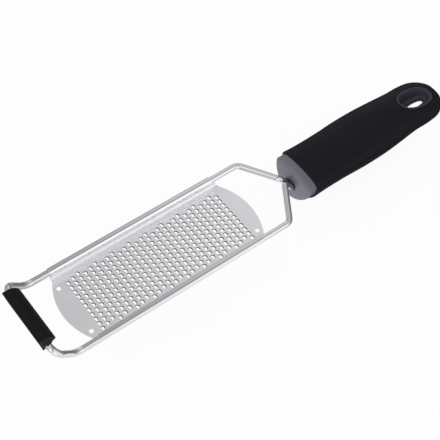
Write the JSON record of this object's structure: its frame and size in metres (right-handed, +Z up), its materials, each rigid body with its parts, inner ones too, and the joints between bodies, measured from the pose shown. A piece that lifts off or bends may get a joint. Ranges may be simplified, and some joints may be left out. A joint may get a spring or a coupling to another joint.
{
  "type": "rasp zester",
  "caption": "Hand-held rasp zester: a toothed steel blade rolled over a bent wire frame, with a rubber front foot and a two-part soft-grip handle with a hanging slot.",
  "frame": {"origin": "middle of the base of the bounding box", "axes": "+X runs from the foot to the handle's tip, +Z points up with the blade's teeth pressed downwards and the foot raised, as the picture shows it; +Y completes the right-handed frame"},
  "size_m": [0.3112, 0.0552, 0.0414],
  "materials": {
    "wire_steel": "bright drawn stainless wire",
    "blade_steel": "satin stainless sheet",
    "foot_rubber": "matt black rubber",
    "core_plastic": "dark grey moulded plastic, satin",
    "grip_rubber": "soft-touch black overmoulding"
  },
  "bodies": {
    "root": {"frame_wire": "wire_steel", "blade": "blade_steel", "foot_sleeve": "foot_rubber", "handle_core": "core_plastic", "grip": "grip_rubber"}
  },
  "joints": []
}
